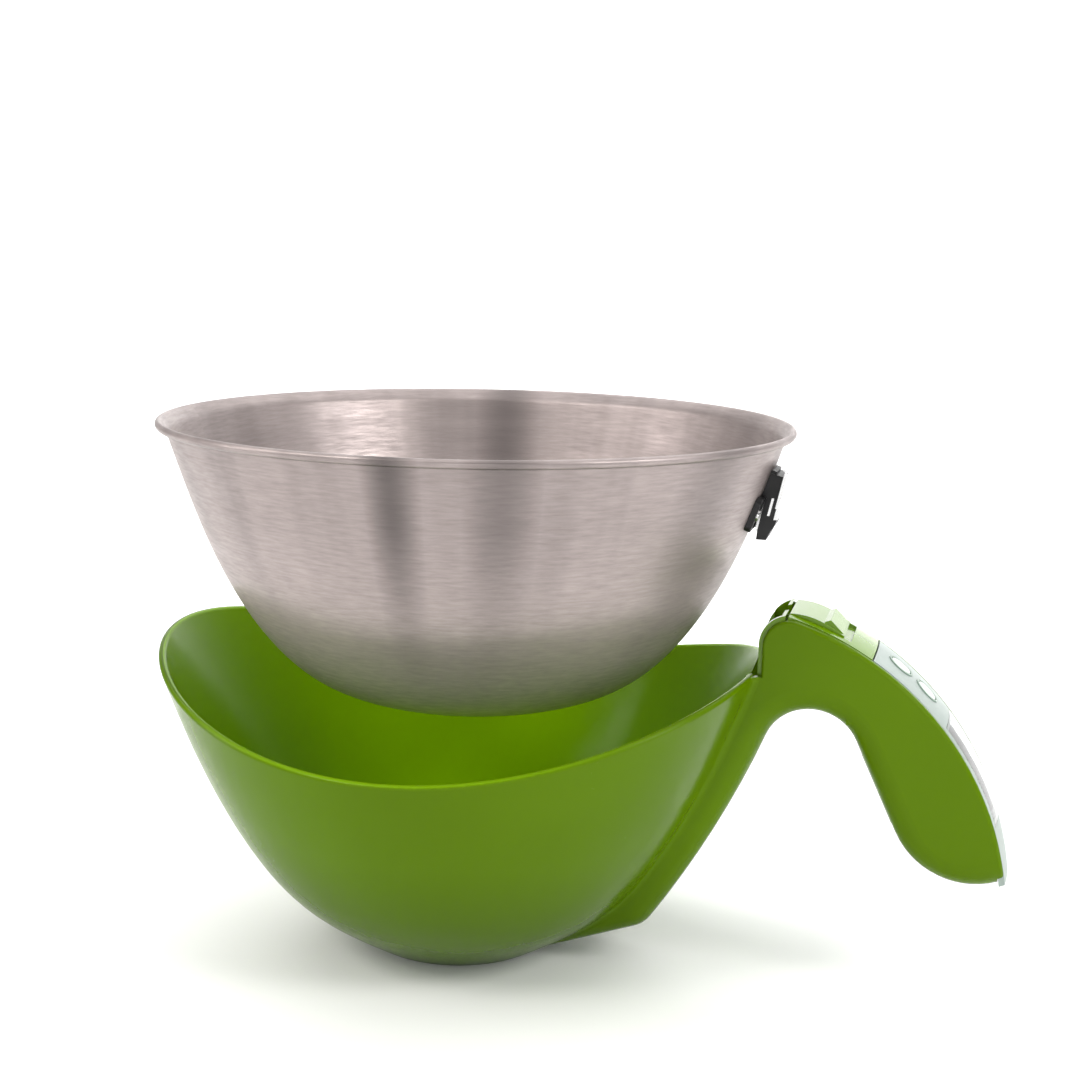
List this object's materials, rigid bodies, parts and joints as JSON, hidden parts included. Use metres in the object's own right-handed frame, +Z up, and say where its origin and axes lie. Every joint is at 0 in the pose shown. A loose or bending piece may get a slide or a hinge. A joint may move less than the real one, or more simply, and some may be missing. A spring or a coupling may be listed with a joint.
{
  "type": "kitchen scale",
  "caption": "Digital kitchen scale: green cradle bowl with a hooked grip handle that holds the display, and a lift-off brushed steel mixing bowl.",
  "frame": {"origin": "centre of the base pad's underside, on the axis of the green cradle", "axes": "+Z up, +X towards the handle, +Y to the left of someone holding the handle"},
  "size_m": [0.3274, 0.24, 0.2061],
  "materials": {
    "green_plastic": "glossy injection-moulded ABS",
    "silver_panel": "satin silver-white plastic",
    "steel_bowl": "brushed stainless steel",
    "steel_small": "plain steel",
    "black_plastic": "black moulding",
    "rubber": "soft pad",
    "window": "clear window over the display",
    "lcd": "liquid-crystal glass",
    "ring_grey": "grey-green button ring",
    "button_cap": "pale button cap",
    "board": "green circuit board",
    "chip": "chips and potting",
    "elastomer": "zebra strip and switch rubber",
    "aluminium": "milled aluminium",
    "gauge": "strain gauge film",
    "wire_red": "insulated wire",
    "wire_white": "insulated wire",
    "nickel": "nickel-plated steel"
  },
  "bodies": {
    "scale_body": {"cradle_shell": "green_plastic", "base_pad": "rubber", "top_cover": "green_plastic", "cover_screws": "steel_small", "display_panel": "silver_panel", "display_lens": "window", "button_bezels": "ring_grey", "key_board": "board", "key_switches": "chip", "lcd_glass": "lcd", "zebra_strips": "elastomer", "main_board": "board", "board_chips": "chip", "board_screws": "steel_small", "load_cell": "aluminium", "strain_gauges": "gauge", "load_cell_screws": "steel_small", "bowl_hanger": "green_plastic", "load_cell_leads": "wire_white", "battery_leads": "wire_red", "cell_holder": "black_plastic", "coin_cell": "nickel", "cell_contacts": "nickel", "latch_spring": "steel_small"},
    "steel_bowl_set": {"steel_bowl": "steel_bowl", "bowl_bracket": "black_plastic", "hook_plate": "steel_small", "hook_springs": "steel_small", "bracket_rivets": "steel_small"},
    "slider": {"release_slider": "green_plastic"},
    "tare_key": {"tare_button": "button_cap"},
    "unit_key": {"unit_button": "button_cap"},
    "battery_lid": {"battery_door": "green_plastic"}
  },
  "joints": [
    {"name": "bowl_lift", "type": "slide", "parent": "scale_body", "child": "steel_bowl_set", "axis": [0, 0, 1], "range_m": [-0.057, 0.08]},
    {"name": "slider_release", "type": "slide", "parent": "scale_body", "child": "slider", "axis": [0.9376, 0, -0.3477], "range_m": [0, 0.0026], "stiffness_N_per_m": 500, "springref_m": -0.002, "deforming": ["latch_spring"]},
    {"name": "tare_press", "type": "slide", "parent": "scale_body", "child": "tare_key", "axis": [-0.6129, 0, -0.7902], "range_m": [0, 0.0008], "stiffness_N_per_m": 400, "springref_m": -0.0004},
    {"name": "unit_press", "type": "slide", "parent": "scale_body", "child": "unit_key", "axis": [-0.6997, 0, -0.7145], "range_m": [0, 0.0008], "stiffness_N_per_m": 400, "springref_m": -0.0004},
    {"name": "battery_door_hinge", "type": "hinge", "parent": "scale_body", "child": "battery_lid", "pos_m": [0.15665, 0, 0.09187], "axis": [0, 1, 0], "range_deg": [0, 100]}
  ]
}
